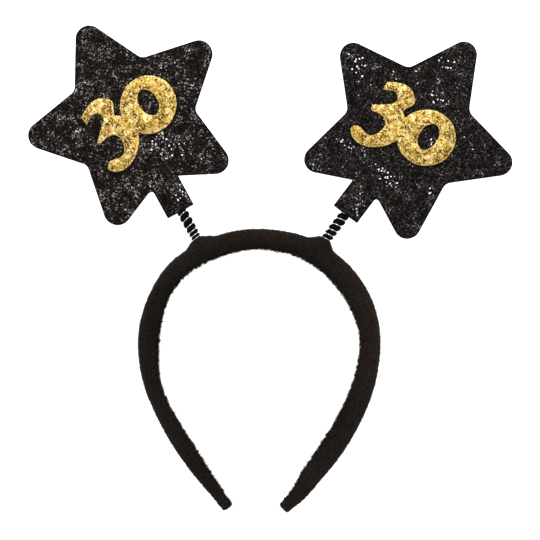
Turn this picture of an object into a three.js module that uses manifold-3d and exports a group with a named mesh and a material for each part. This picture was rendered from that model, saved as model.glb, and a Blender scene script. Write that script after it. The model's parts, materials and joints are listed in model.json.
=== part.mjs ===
// A birthday headband, lying on its side as it rests on a table: a felt-covered hoop for the head,
// with two glitter stars that bob on coil springs. X runs across the hoop, Y from the hoop's tips to
// the stars, and Z up from the table. Sizes are in millimetres.
import * as THREE from "three";
import { mergeVertices } from "three/addons/utils/BufferGeometryUtils.js";
import Module from "manifold-3d";

const wasm = await Module();
wasm.setup();

// The felt-covered hoop
const HOOP_WIDTH = 128;
const HOOP_HEIGHT = 151.5;
const HOOP_THICK = 11;
const HOOP_DEEP = 13;
const HOOP_SQUARENESS = 2.4;
const HOOP_FLAT = 0.4;
const HOOP_SIDES = 16;
const HOOP_SECTIONS = 76;
const TIP_CHAMFER = 1.2;
const TIP_END_SHARE = 0.7;

// The coil springs and the soft cores that they are wound on
const SPRING_RADIUS = 2.65;
const SPRING_SHOWN = 16.8;
const SPRING_IN_TAB = 12;
const SPRING_IN_COLLAR = 3.6;
const SPRING_NECK_SHARE = 0.64;
const SPRING_NECK_FADE = 2.2;
const WIRE_DIAMETER = 0.62;
const WIRE_INSET = 0.22;
const WIRE_SIDES = 6;
const STEPS_PER_TURN = 9;
const PITCH_AT_COLLAR = 2.1;
const PITCH_AT_TAB = 3.7;
const GROOVE_WIDTH = 0.8;
const CORE_RIDGES_IN_TAB = 3;
const FIT_GAP = 0.3;

// The felt collars that rise from the hoop to the springs
const COLLAR_WALL = 1;
const COLLAR_FOOT_RADIUS = 7.4;
const COLLAR_ROOT = 5.5;
const COLLAR_FLATTEN = 0.8;
const COLLAR_ROWS = 6;
const COLLAR_SIDES = 18;

// The stars, each two sheets of glitter foam glued face to face round the end of a spring
const STAR_POINTS = 5;
const STAR_SHARP_RADIUS = 65;
const STAR_INNER_RADIUS = 34.1;
const STAR_POINT_ROUND = 6.7;
const STAR_NOTCH_ROUND = 5;
const STAR_POINT_STEPS = 9;
const STAR_NOTCH_STEPS = 4;
const SHEET_THICK = 1.9;
const TAB_WIDTH = 15.6;
const TAB_END_FROM_CENTRE = 54.7;
const BULGE_WALL = 1.2;
const BULGE_SPREAD = 1.5;
const BULGE_FADE = 12;
const BULGE_ROWS = 6;
const BULGE_SIDES = 20;

// The numbers, each one sheet of gold glitter foam glued on a star
const NUMBER_HEIGHT = 38.6;
const NUMBER_THICK = 1.5;
const NUMBER_TURN = 11.3;

// Where the hoop's middle line runs, as shares of its width either side of the middle and of its
// height above the tips, and how thick and deep the padding is there, as shares of its full size.
const HOOP_LINE = [
  { across: -0.274, up: 0.019, thick: 0.47, deep: 0.6 },
  { across: -0.363, up: 0.072, thick: 0.56, deep: 0.72 },
  { across: -0.455, up: 0.129, thick: 0.72, deep: 0.88 },
  { across: -0.546, up: 0.185, thick: 0.82, deep: 1 },
  { across: -0.674, up: 0.27, thick: 0.87, deep: 1 },
  { across: -0.786, up: 0.354, thick: 0.84, deep: 1 },
  { across: -0.87, up: 0.438, thick: 0.82, deep: 1 },
  { across: -0.91, up: 0.523, thick: 0.92, deep: 1 },
  { across: -0.918, up: 0.601, thick: 1, deep: 1 },
  { across: -0.897, up: 0.671, thick: 1, deep: 1 },
  { across: -0.834, up: 0.761, thick: 0.94, deep: 1 },
  { across: -0.686, up: 0.855, thick: 0.94, deep: 1 },
  { across: -0.467, up: 0.917, thick: 0.98, deep: 1 },
  { across: -0.224, up: 0.954, thick: 0.99, deep: 1 },
  { across: -0.032, up: 0.964, thick: 0.98, deep: 1 },
  { across: 0.16, up: 0.957, thick: 0.98, deep: 1 },
  { across: 0.344, up: 0.937, thick: 1, deep: 1 },
  { across: 0.567, up: 0.881, thick: 1.09, deep: 1 },
  { across: 0.705, up: 0.824, thick: 1.14, deep: 1 },
  { across: 0.813, up: 0.757, thick: 1.13, deep: 1 },
  { across: 0.884, up: 0.68, thick: 1.05, deep: 1 },
  { across: 0.914, up: 0.601, thick: 0.97, deep: 1 },
  { across: 0.887, up: 0.493, thick: 1.01, deep: 1 },
  { across: 0.825, up: 0.41, thick: 1.08, deep: 1 },
  { across: 0.7, up: 0.298, thick: 1.11, deep: 1 },
  { across: 0.576, up: 0.213, thick: 1.09, deep: 1 },
  { across: 0.431, up: 0.129, thick: 0.96, deep: 0.9 },
  { across: 0.34, up: 0.072, thick: 0.73, deep: 0.74 },
  { across: 0.205, up: 0.014, thick: 0.53, deep: 0.6 },
];

// Where each spring leaves the hoop, as a share of the way along the hoop's middle line from the left
// tip, how high its collar stands and how far it leans from the Y axis, in degrees. Then how large its
// star is cut, as a share of the full size, how far it is turned on its tab, how far the tab sits to
// one side, and where the number lies on the star.
const BOPPERS = [
  {
    side: "left",
    along: 0.417,
    collar: 2.4,
    lean: 28.6,
    size: 0.983,
    turn: -1,
    tabAcross: -0.8,
    numberAcross: -2.1,
    numberUp: 0.7,
  },
  {
    side: "right",
    along: 0.581,
    collar: 3.5,
    lean: -37.2,
    size: 1,
    turn: 0.7,
    tabAcross: 0.1,
    numberAcross: -3.9,
    numberUp: 1.5,
  },
];

// The outline of the figure three, clockwise from the end of its top stroke, as shares of its height.
// A "line" runs straight to its point, and a "curve" smoothly through all of its points.
const FIGURE_THREE = [
  { kind: "line", points: [[-0.46, 0.433]] },
  {
    kind: "curve",
    points: [[-0.343, 0.478], [-0.206, 0.501], [-0.096, 0.471], [-0.021, 0.391], [0.005, 0.323], [-0.048, 0.234]],
  },
  { kind: "line", points: [[-0.093, 0.162], [-0.027, 0.099], [0.069, 0.055], [0.069, -0.179], [0, -0.245]] },
  {
    kind: "curve",
    points: [
      [-0.069, -0.337], [-0.179, -0.423], [-0.302, -0.481], [-0.412, -0.499],
      [-0.522, -0.477], [-0.598, -0.419], [-0.629, -0.35], [-0.602, -0.313],
    ],
  },
  {
    kind: "curve",
    points: [
      [-0.549, -0.286], [-0.495, -0.297], [-0.426, -0.327], [-0.35, -0.33], [-0.286, -0.282], [-0.242, -0.199],
      [-0.229, -0.124], [-0.254, -0.058], [-0.323, -0.016], [-0.398, -0.008], [-0.478, -0.011],
    ],
  },
  { kind: "curve", points: [[-0.503, 0.027], [-0.485, 0.074]] },
  { kind: "line", points: [[-0.433, 0.093], [-0.33, 0.155], [-0.247, 0.209]] },
  { kind: "curve", points: [[-0.229, 0.261], [-0.247, 0.319], [-0.295, 0.354], [-0.357, 0.352]] },
  { kind: "line", points: [[-0.467, 0.306]] },
];
// The figure nought: a round outside and a leaning oval hole, as shares of the same height.
const FIGURE_NOUGHT = {
  outside: { x: 0.357, y: -0.021, across: 0.395, up: 0.398, lean: 0 },
  hole: { x: 0.378, y: 0, across: 0.126, up: 0.196, lean: -7 },
};
const THREE_CURVE_STEPS = 2;
const NOUGHT_STEPS = 15;

const felt = new THREE.MeshStandardMaterial({ color: 0x1c1917, roughness: 0.98 });
const springSteel = new THREE.MeshStandardMaterial({ color: 0xcfcac4, roughness: 0.25, metalness: 1 });
const springCore = new THREE.MeshStandardMaterial({ color: 0x0c0b0a, roughness: 0.7 });
const blackGlitter = new THREE.MeshStandardMaterial({ color: 0x242222, roughness: 0.4, metalness: 0.4 });
const goldGlitter = new THREE.MeshStandardMaterial({ color: 0xd9ab45, roughness: 0.35, metalness: 0.8 });

// Solids and booleans

function solidOf(geometry) {
  const bare = geometry.index ? geometry.toNonIndexed() : geometry.clone();
  bare.deleteAttribute("normal");
  bare.deleteAttribute("uv");
  const merged = mergeVertices(bare, 1e-3);
  return new wasm.Manifold(
    new wasm.Mesh({
      numProp: 3,
      vertProperties: merged.attributes.position.array,
      triVerts: new Uint32Array(merged.index.array),
    }),
  );
}

function geometryOf(solid) {
  const { numVert, numProp, vertProperties, triVerts } = solid.getMesh();
  const position = new Float32Array(numVert * 3);
  for (let i = 0; i < numVert; i++) {
    position.set(vertProperties.subarray(i * numProp, i * numProp + 3), i * 3);
  }
  const geometry = new THREE.BufferGeometry();
  geometry.setAttribute("position", new THREE.BufferAttribute(position, 3));
  geometry.setIndex(new THREE.BufferAttribute(new Uint32Array(triVerts), 1));
  geometry.computeVertexNormals();
  return geometry;
}

// A closed skin over rings of points, each with as many points, capped flat at both ends. A ring runs
// anticlockwise seen from the far end. With slanted set, the faces are split along a right-hand helix.
function skinOver(rings, slanted = false) {
  const sides = rings[0].length;
  const points = rings.flat();
  const faces = [];
  const at = (row, side) => row * sides + (side % sides);
  for (let row = 0; row < rings.length - 1; row++) {
    for (let side = 0; side < sides; side++) {
      const [a, b] = [at(row, side), at(row, side + 1)];
      const [c, d] = [at(row + 1, side + 1), at(row + 1, side)];
      faces.push(...(slanted ? [a, b, c, a, c, d] : [a, b, d, b, c, d]));
    }
  }
  for (const [row, isFirst] of [[0, true], [rings.length - 1, false]]) {
    const middle = points.length;
    points.push(rings[row].reduce((sum, p) => sum.add(p), new THREE.Vector3()).divideScalar(sides));
    for (let side = 0; side < sides; side++) {
      const [a, b] = [at(row, side), at(row, side + 1)];
      faces.push(...(isFirst ? [b, a, middle] : [a, b, middle]));
    }
  }
  const geometry = new THREE.BufferGeometry().setFromPoints(points);
  geometry.setIndex(faces);
  geometry.computeVertexNormals();
  return geometry;
}

// The hoop

const hoopMiddle = HOOP_DEEP / 2 - HOOP_FLAT;

const hoopCurve = new THREE.CatmullRomCurve3(
  HOOP_LINE.map(({ across, up }) => new THREE.Vector3((across * HOOP_WIDTH) / 2, up * HOOP_HEIGHT, hoopMiddle)),
  false,
  "centripetal",
);

// The padding's thickness and depth, smoothly read along the same rows.
const hoopGirth = new THREE.CatmullRomCurve3(
  HOOP_LINE.map(({ thick, deep }) => new THREE.Vector3(thick * HOOP_THICK, deep * HOOP_DEEP, 0)),
  false,
  "catmullrom",
);

function signedPower(value, power) {
  return Math.sign(value) * Math.abs(value) ** power;
}

// The hoop's middle point, outward direction, thickness and depth at a share of its length.
function hoopAt(along) {
  const t = hoopCurve.getUtoTmapping(along);
  const middle = hoopCurve.getPoint(t);
  const forward = hoopCurve.getTangent(t);
  const outward = new THREE.Vector3(-forward.y, forward.x, 0).normalize();
  const girth = hoopGirth.getPoint(t);
  return { middle, outward, thick: girth.x, deep: Math.min(girth.y, HOOP_DEEP) };
}

function hoopRing({ middle, outward, thick, deep }, scale = 1) {
  return Array.from({ length: HOOP_SIDES }, (_, i) => {
    const angle = ((i + 0.5) / HOOP_SIDES) * 2 * Math.PI;
    const power = 2 / HOOP_SQUARENESS;
    const out = (scale * thick * signedPower(Math.cos(angle), power)) / 2;
    const rise = (scale * deep * signedPower(Math.sin(angle), power)) / 2;
    const point = middle.clone().addScaledVector(outward, out);
    point.z = Math.max(0, point.z + rise);
    return point;
  });
}

function makeHoop() {
  const chamfer = TIP_CHAMFER / hoopCurve.getLength();
  const rings = [hoopRing(hoopAt(0), TIP_END_SHARE)];
  for (let i = 0; i <= HOOP_SECTIONS; i++) {
    rings.push(hoopRing(hoopAt(THREE.MathUtils.lerp(chamfer, 1 - chamfer, i / HOOP_SECTIONS))));
  }
  rings.push(hoopRing(hoopAt(1), TIP_END_SHARE));
  return skinOver(rings);
}

// Where each spring stands. In a bopper's own frame Y runs up the spring from the collar's rim, X
// across the star and Z out of its front. The star droops until its far point touches the table.

const springReach = SPRING_SHOWN + TAB_END_FROM_CENTRE;
const halfLobe = Math.atan2(
  STAR_INNER_RADIUS * Math.sin(Math.PI / STAR_POINTS),
  STAR_SHARP_RADIUS - STAR_INNER_RADIUS * Math.cos(Math.PI / STAR_POINTS),
);
const starRoundedRadius = STAR_SHARP_RADIUS - STAR_POINT_ROUND / Math.sin(halfLobe) + STAR_POINT_ROUND;
const sheetTop = FIT_GAP / 2 + SHEET_THICK;

function droopAt(rimHeight, size) {
  const along = springReach + size * starRoundedRadius;
  return Math.asin(rimHeight / Math.hypot(along, sheetTop)) - Math.atan2(sheetTop, along);
}

function rimOf({ along, collar, lean }) {
  const { middle, outward, thick } = hoopAt(along);
  const up = new THREE.Vector3(-Math.sin(THREE.MathUtils.degToRad(lean)), Math.cos(THREE.MathUtils.degToRad(lean)), 0);
  const surface = middle.clone().addScaledVector(outward, thick / 2);
  return surface.addScaledVector(up, collar);
}

function placeOf(bopper) {
  const rim = rimOf(bopper);
  const turn = new THREE.Matrix4().makeRotationZ(THREE.MathUtils.degToRad(bopper.lean));
  const droop = new THREE.Matrix4().makeRotationX(-droopAt(rim.z, bopper.size));
  return new THREE.Matrix4().makeTranslation(rim.x, rim.y, rim.z).multiply(turn).multiply(droop);
}

// The spring. Its size shrinks to a neck where it goes into the collar.

const wireRadius = WIRE_DIAMETER / 2;
const necked = (y) =>
  THREE.MathUtils.lerp(SPRING_NECK_SHARE, 1, THREE.MathUtils.smoothstep(y, -SPRING_NECK_FADE / 2, SPRING_NECK_FADE));
const ridgeRadius = (y) => SPRING_RADIUS * necked(y);
const coilRadius = (y) => (SPRING_RADIUS - WIRE_INSET) * necked(y) - wireRadius;
const grooveRadius = (y) => coilRadius(y) - wireRadius - FIT_GAP;

const springBottom = -SPRING_IN_COLLAR;
const springTop = SPRING_SHOWN + SPRING_IN_TAB;
const ridgesTop = SPRING_SHOWN + CORE_RIDGES_IN_TAB;

function pitchAt(y) {
  return THREE.MathUtils.lerp(PITCH_AT_COLLAR, PITCH_AT_TAB, THREE.MathUtils.smoothstep(y, 0, SPRING_SHOWN));
}

// The heights that the wire passes, one for each step of a turn, from the spring's bottom to its top.
function coilHeights() {
  const heights = [springBottom];
  while (heights.at(-1) < springTop) {
    heights.push(heights.at(-1) + pitchAt(heights.at(-1)) / STEPS_PER_TURN);
  }
  return heights;
}

function onCoil(step, y, radius) {
  const angle = (-step / STEPS_PER_TURN) * 2 * Math.PI;
  return new THREE.Vector3(radius * Math.cos(angle), y, radius * Math.sin(angle));
}

function makeSpringWire() {
  const heights = coilHeights();
  const middles = heights.map((y, step) => onCoil(step, y, coilRadius(y)));
  const line = new THREE.CatmullRomCurve3(middles);
  const rings = middles.map((middle, step) => {
    const forward = line.getTangent(step / (middles.length - 1));
    const outward = onCoil(step, 0, 1);
    const side = new THREE.Vector3().crossVectors(forward, outward).normalize();
    outward.crossVectors(side, forward);
    return Array.from({ length: WIRE_SIDES }, (_, i) => {
      const angle = (i / WIRE_SIDES) * 2 * Math.PI;
      return middle
        .clone()
        .addScaledVector(outward, wireRadius * Math.cos(angle))
        .addScaledVector(side, wireRadius * Math.sin(angle));
    });
  });
  return skinOver(rings);
}

// The core swells between the turns of the wire and is pinched in a groove under each.
function makeSpringCore() {
  const heights = coilHeights().filter((y) => y <= ridgesTop);
  const rings = heights.map((y, row) =>
    Array.from({ length: STEPS_PER_TURN }, (_, i) => {
      const phase = (((row - i) % STEPS_PER_TURN) + STEPS_PER_TURN) % STEPS_PER_TURN;
      const fromWire = (Math.min(phase, STEPS_PER_TURN - phase) / STEPS_PER_TURN) * pitchAt(y);
      const pinch = Math.exp(-((fromWire / GROOVE_WIDTH) ** 4));
      return onCoil(i, y, THREE.MathUtils.lerp(ridgeRadius(y), grooveRadius(y), pinch));
    }),
  );
  const stem = grooveRadius(ridgesTop);
  const stemRing = (y) => Array.from({ length: STEPS_PER_TURN }, (_, i) => onCoil(i, y, stem));
  rings.push(stemRing(heights.at(-1) + FIT_GAP), stemRing(springTop));
  return skinOver(rings, true);
}

// The felt collar: a concave cone from inside the hoop to a rim round the spring's neck.

const socketRadius = ridgeRadius(springBottom) + FIT_GAP;
const rimRadius = socketRadius + COLLAR_WALL;

function makeCollar(height) {
  const foot = -(height + COLLAR_ROOT);
  const profile = [new THREE.Vector2(0, foot)];
  for (let i = 0; i <= COLLAR_ROWS; i++) {
    const share = i / COLLAR_ROWS;
    profile.push(new THREE.Vector2(THREE.MathUtils.lerp(COLLAR_FOOT_RADIUS, rimRadius, share ** 0.5), foot * (1 - share)));
  }
  profile.push(new THREE.Vector2(0, 0));
  return new THREE.LatheGeometry(profile, COLLAR_SIDES).scale(1, 1, COLLAR_FLATTEN);
}

function makeSocket() {
  const depth = SPRING_IN_COLLAR + wireRadius + FIT_GAP;
  const clear = 1;
  const socket = new THREE.CylinderGeometry(socketRadius, socketRadius, depth + clear, COLLAR_SIDES);
  return socket.translate(0, (clear - depth) / 2, 0);
}

function makeHeadband() {
  let band = solidOf(makeHoop());
  for (const bopper of BOPPERS) {
    const place = placeOf(bopper);
    band = band.add(solidOf(makeCollar(bopper.collar).applyMatrix4(place)));
    band = band.subtract(solidOf(makeSocket().applyMatrix4(place)));
  }
  return geometryOf(band);
}

// The star's sheets

// A closed outline through corners, each rounded with its own radius.
function roundedOutline(corners) {
  const points = [];
  corners.forEach(({ point, radius, steps }, i) => {
    const before = corners[(i + corners.length - 1) % corners.length].point;
    const after = corners[(i + 1) % corners.length].point;
    const back = before.clone().sub(point).normalize();
    const ahead = after.clone().sub(point).normalize();
    const half = Math.acos(back.dot(ahead)) / 2;
    const middle = back.clone().add(ahead).normalize().multiplyScalar(radius / Math.sin(half)).add(point);
    const start = back.multiplyScalar(radius / Math.tan(half)).add(point).sub(middle).angle();
    const end = ahead.multiplyScalar(radius / Math.tan(half)).add(point).sub(middle).angle();
    let sweep = end - start;
    if (sweep > Math.PI) sweep -= 2 * Math.PI;
    if (sweep < -Math.PI) sweep += 2 * Math.PI;
    for (let step = 0; step <= steps; step++) {
      const angle = start + (sweep * step) / steps;
      points.push(new THREE.Vector2(radius * Math.cos(angle), radius * Math.sin(angle)).add(middle));
    }
  });
  return points;
}

function starOutline(size, turn) {
  const corners = [];
  for (let i = 0; i < 2 * STAR_POINTS; i++) {
    const isPoint = i % 2 === 0;
    const angle = Math.PI / 2 + THREE.MathUtils.degToRad(turn) + (i * Math.PI) / STAR_POINTS;
    const reach = size * (isPoint ? STAR_SHARP_RADIUS : STAR_INNER_RADIUS);
    corners.push({
      point: new THREE.Vector2(reach * Math.cos(angle), springReach + reach * Math.sin(angle)),
      radius: size * (isPoint ? STAR_POINT_ROUND : STAR_NOTCH_ROUND),
      steps: isPoint ? STAR_POINT_STEPS : STAR_NOTCH_STEPS,
    });
  }
  return roundedOutline(corners);
}

function plate(outline, thick) {
  return new THREE.ExtrudeGeometry(new THREE.Shape(outline), { depth: thick, bevelEnabled: false });
}

// A round bar along the spring's line, from the tab's end to a point, with a rounded far end.
function tabBar(radius, straightTo, fade, spread, start) {
  const profile = [new THREE.Vector2(0, start), new THREE.Vector2(radius, start)];
  for (let i = 0; i <= BULGE_ROWS; i++) {
    const share = i / BULGE_ROWS;
    const width = i === BULGE_ROWS ? 0 : (radius * (1 + Math.cos(share * Math.PI))) / 2;
    profile.push(new THREE.Vector2(width, straightTo + fade * share));
  }
  return new THREE.LatheGeometry(profile, BULGE_SIDES).scale(spread, 1, 1);
}

// The front sheet. The back sheet is the same shape, mirrored in the plane between them.
function makeSheet({ size, turn, tabAcross }) {
  const [tabLeft, tabRight] = [tabAcross - TAB_WIDTH / 2, tabAcross + TAB_WIDTH / 2];
  const tab = [
    new THREE.Vector2(tabLeft, SPRING_SHOWN),
    new THREE.Vector2(tabRight, SPRING_SHOWN),
    new THREE.Vector2(tabRight, springReach),
    new THREE.Vector2(tabLeft, springReach),
  ];
  const channel = SPRING_RADIUS + FIT_GAP;
  const hump = tabBar(channel + BULGE_WALL, springTop, BULGE_FADE, BULGE_SPREAD, SPRING_SHOWN);
  const hollow = tabBar(channel, springTop + FIT_GAP, channel, 1, SPRING_SHOWN - 1);
  const keepAbove = new THREE.BoxGeometry(TAB_WIDTH * 2, springReach * 2, HOOP_DEEP).translate(
    0,
    springReach,
    HOOP_DEEP / 2 + FIT_GAP / 2,
  );
  const flat = solidOf(plate(starOutline(size, turn), SHEET_THICK)).add(solidOf(plate(tab, SHEET_THICK)));
  const raised = solidOf(hump).intersect(solidOf(keepAbove));
  return flat.translate([0, 0, FIT_GAP / 2]).add(raised).subtract(solidOf(hollow));
}

// The number thirty, in one piece

function threeShape() {
  const scaled = ([x, y]) => new THREE.Vector2(x * NUMBER_HEIGHT, y * NUMBER_HEIGHT);
  const shape = new THREE.Shape();
  FIGURE_THREE.forEach(({ kind, points }, i) => {
    const places = points.map(scaled);
    if (i === 0) shape.moveTo(places[0].x, places[0].y);
    else if (kind === "curve") shape.splineThru(places);
    else places.forEach((p) => shape.lineTo(p.x, p.y));
  });
  return shape;
}

function ellipsePath(path, { x, y, across, up, lean }) {
  const [cx, cy, rx, ry] = [x, y, across, up].map((share) => share * NUMBER_HEIGHT);
  path.absellipse(cx, cy, rx, ry, 0, 2 * Math.PI, false, THREE.MathUtils.degToRad(lean));
  return path;
}

function makeNumber() {
  const nought = ellipsePath(new THREE.Shape(), FIGURE_NOUGHT.outside);
  nought.holes.push(ellipsePath(new THREE.Path(), FIGURE_NOUGHT.hole));
  const extruded = (shape, curveSegments) =>
    solidOf(new THREE.ExtrudeGeometry(shape, { depth: NUMBER_THICK, bevelEnabled: false, curveSegments }));
  return geometryOf(extruded(threeShape(), THREE_CURVE_STEPS).add(extruded(nought, NOUGHT_STEPS)));
}

// The whole headband

function named(name, geometry, material) {
  const mesh = new THREE.Mesh(geometry, material);
  mesh.name = name;
  return mesh;
}

function makeBopper(bopper) {
  const { side } = bopper;
  const group = new THREE.Group();
  group.applyMatrix4(placeOf(bopper));
  const sheet = makeSheet(bopper);
  const number = named(`${side}_number`, makeNumber(), goldGlitter);
  number.position.set(bopper.numberAcross, springReach + bopper.numberUp, sheetTop + FIT_GAP);
  number.rotation.z = THREE.MathUtils.degToRad(NUMBER_TURN);
  group.add(
    named(`${side}_spring_wire`, makeSpringWire(), springSteel),
    named(`${side}_spring_core`, makeSpringCore(), springCore),
    named(`${side}_star_front`, geometryOf(sheet), blackGlitter),
    named(`${side}_star_back`, geometryOf(sheet.mirror([0, 0, 1])), blackGlitter),
    number,
  );
  return group;
}

const headband = new THREE.Group();
headband.add(named("headband", makeHeadband(), felt), ...BOPPERS.map(makeBopper));

// The origin is on the table, under the middle of the whole.
headband.updateMatrixWorld(true);
const box = new THREE.Box3().setFromObject(headband, true);
const middle = box.getCenter(new THREE.Vector3());
headband.position.set(-middle.x, -middle.y, -box.min.z);

export default headband;
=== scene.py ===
"""The birthday star headband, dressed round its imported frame.

It lies on a table: X runs across the hoop, Y from its tips to the stars and Z up. Shapes are worked out
in millimetres and turned into metres as each piece is finished.
"""

import json
import math

import bmesh
import bpy
from mathutils import Matrix, Vector, noise


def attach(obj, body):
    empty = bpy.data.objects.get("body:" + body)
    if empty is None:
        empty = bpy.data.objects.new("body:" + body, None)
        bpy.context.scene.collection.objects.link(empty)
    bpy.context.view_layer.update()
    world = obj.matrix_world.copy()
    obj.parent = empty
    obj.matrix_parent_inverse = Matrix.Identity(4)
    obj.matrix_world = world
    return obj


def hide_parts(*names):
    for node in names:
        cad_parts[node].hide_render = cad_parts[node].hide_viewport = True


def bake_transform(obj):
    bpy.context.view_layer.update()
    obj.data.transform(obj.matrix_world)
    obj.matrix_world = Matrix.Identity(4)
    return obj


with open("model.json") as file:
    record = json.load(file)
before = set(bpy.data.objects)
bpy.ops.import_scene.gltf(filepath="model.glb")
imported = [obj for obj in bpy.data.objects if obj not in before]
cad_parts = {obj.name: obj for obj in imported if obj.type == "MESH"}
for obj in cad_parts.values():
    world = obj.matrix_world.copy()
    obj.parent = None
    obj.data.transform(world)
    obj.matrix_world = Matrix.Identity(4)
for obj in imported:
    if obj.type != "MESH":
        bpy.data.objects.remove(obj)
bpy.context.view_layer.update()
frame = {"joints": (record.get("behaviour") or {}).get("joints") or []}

MM = 0.001

# The felt-covered hoop
HOOP_WIDTH = 128
HOOP_HEIGHT = 151.5
HOOP_MIDDLE_ACROSS = -4.853
HOOP_TIPS_UP = -130.107
HOOP_THICK = 11
HOOP_DEEP = 13
HOOP_SQUARENESS = 2.4
HOOP_FLAT = 0.4
HOOP_SIDES = 40
HOOP_STATIONS = 260
TIP_ROUND = 0.5
TIP_END_SHARE = 0.9
TIP_ROUND_STEPS = 4
HEAD_MIDDLE_UP_SHARE = 0.55
INWARDS_ABOVE = 0.3
FELT_VOXEL = 0.55
FELT_SOFTENING = 0.5
FELT_SOFTENING_PASSES = 4
LUMP_SIZE = 1.5
LUMP_HEIGHT = 0.31
FINE_LUMP_FREQUENCY = 2.2
FINE_LUMP_SHARE = 0.5
INNER_LUMPS = 3.2
INNER_SINK = 0.5

# The coil springs and the cloth cores that they are wound on
SPRING_RADIUS = 2.65
SPRING_SHOWN = 16.8
SPRING_IN_TAB = 12
SPRING_IN_COLLAR = 3.6
SPRING_NECK_SHARE = 0.64
SPRING_SUNK_SHARE = 0.72
SPRING_SWELL = 1.13
SPRING_NECK_FADE = 2.2
WIRE_DIAMETER = 0.62
WIRE_INSET = 0.22
WIRE_SIDES = 10
STEPS_PER_TURN = 30
PITCH_AT_TAB = 3.7
PITCH_REACH = 9
GROOVE_WIDTH = 0.8
GROOVE_CLEAR_OF_WIRE = 0.1
CORE_UNEVENNESS = 0.05
CORE_UNEVEN_FREQUENCY = 0.9
FIT_GAP = 0.3

# The felt collars
COLLAR_WALL = 1
COLLAR_ROOT = 4
COLLAR_FOOT_RISE = 5.7
COLLAR_RISE_DEPTH = 5
COLLAR_STEPS = 20
COLLAR_SIDES = 36

# The stars
STAR_POINTS = 5
STAR_SHARP_RADIUS = 65
STAR_INNER_RADIUS = 34.1
STAR_POINT_ROUND = 6.7
SHEET_THICK = 1.9
TAB_WIDTH = 15.6
TAB_END_FROM_CENTRE = 54.7
TAB_CORNER_ROUND = 0.4
BULGE_WALL = 1.2
BULGE_HALF_WIDTH = 6.6
BULGE_FADE = 12
SHEET_EDGE_ROUND = 0.32
SHEET_WAVE_LENGTH = 14
SHEET_WAVE_HEIGHT = 0.12
FINE_CELL = 0.6
FINE_CELLS = 11
COARSE_CELL = 2.5
COARSE_COLUMNS = 21
COARSE_ROWS = 45
SIDE_BELOW = 0.7
FRONT_ABOVE = 0.6

# The numbers
NUMBER_HEIGHT = 38.6
NUMBER_THICK = 1.5
NUMBER_TURN = 11.3
NUMBER_EDGE_ROUND = 0.22
SLIVER = 0.01

# Glitter flakes and felt fibres
FLAKE_RADIUS = 0.5
FLAKE_THICK = 0.05
FLAKE_PILE = 0.16
GOLD_FLAKE_RADIUS = 0.8
GOLD_FLAKE_THICK = 0.06
FIBRE_RADIUS = 0.062
FIBRE_LENGTH = 2.3
FIBRE_TIP = (0.5, 0, 0.5)
FIBRE_ROOT = (0.12, 0, -0.4)
FIBRE_LIFT = 0.3

spring_reach = SPRING_SHOWN + TAB_END_FROM_CENTRE
spring_top = SPRING_SHOWN + SPRING_IN_TAB
sheet_top = FIT_GAP / 2 + SHEET_THICK

# Where the hoop's middle line runs, as shares of half its width either side of the middle and of its
# height above the tips, and how thick and deep the padding is there, as shares of its full size. The
# felt isn't drawn evenly over it: it sits so many millimetres further out than the line.
HOOP_LINE = [
    {"across": -0.274, "up": 0.019, "thick": 0.52, "deep": 0.6, "push": -0.9},
    {"across": -0.363, "up": 0.072, "thick": 0.6, "deep": 0.72, "push": -0.8},
    {"across": -0.455, "up": 0.129, "thick": 0.73, "deep": 0.88, "push": -0.25},
    {"across": -0.546, "up": 0.185, "thick": 0.82, "deep": 1, "push": -0.1},
    {"across": -0.674, "up": 0.27, "thick": 0.87, "deep": 1, "push": 0.1},
    {"across": -0.786, "up": 0.354, "thick": 0.815, "deep": 1, "push": 0.16},
    {"across": -0.87, "up": 0.438, "thick": 0.81, "deep": 1, "push": 0.24},
    {"across": -0.91, "up": 0.523, "thick": 0.95, "deep": 1, "push": 0.16},
    {"across": -0.918, "up": 0.601, "thick": 1.02, "deep": 1, "push": 0.1},
    {"across": -0.897, "up": 0.671, "thick": 1.02, "deep": 1, "push": 0.15},
    {"across": -0.834, "up": 0.761, "thick": 0.94, "deep": 1, "push": -0.1},
    {"across": -0.686, "up": 0.855, "thick": 0.97, "deep": 1, "push": -0.3},
    {"across": -0.467, "up": 0.917, "thick": 1, "deep": 1, "push": -0.45},
    {"across": -0.224, "up": 0.954, "thick": 1.02, "deep": 1, "push": -0.5},
    {"across": -0.032, "up": 0.964, "thick": 0.98, "deep": 1, "push": -0.42},
    {"across": 0.16, "up": 0.957, "thick": 1.02, "deep": 1, "push": -0.45},
    {"across": 0.344, "up": 0.937, "thick": 1.06, "deep": 1, "push": -0.35},
    {"across": 0.567, "up": 0.881, "thick": 1.13, "deep": 1, "push": -0.2},
    {"across": 0.705, "up": 0.824, "thick": 1.165, "deep": 1, "push": -0.2},
    {"across": 0.813, "up": 0.757, "thick": 1.135, "deep": 1, "push": -0.08},
    {"across": 0.884, "up": 0.68, "thick": 1.07, "deep": 1, "push": 0},
    {"across": 0.914, "up": 0.601, "thick": 0.99, "deep": 1, "push": -0.1},
    {"across": 0.887, "up": 0.493, "thick": 1.04, "deep": 1, "push": -0.3},
    {"across": 0.825, "up": 0.41, "thick": 1.1, "deep": 1, "push": -0.22},
    {"across": 0.7, "up": 0.298, "thick": 1.125, "deep": 1, "push": -0.34},
    {"across": 0.576, "up": 0.213, "thick": 1.105, "deep": 1, "push": -0.6},
    {"across": 0.431, "up": 0.129, "thick": 0.97, "deep": 0.9, "push": -0.8},
    {"across": 0.34, "up": 0.072, "thick": 0.76, "deep": 0.74, "push": -1},
    {"across": 0.205, "up": 0.014, "thick": 0.54, "deep": 0.6, "push": -1},
]

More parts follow.
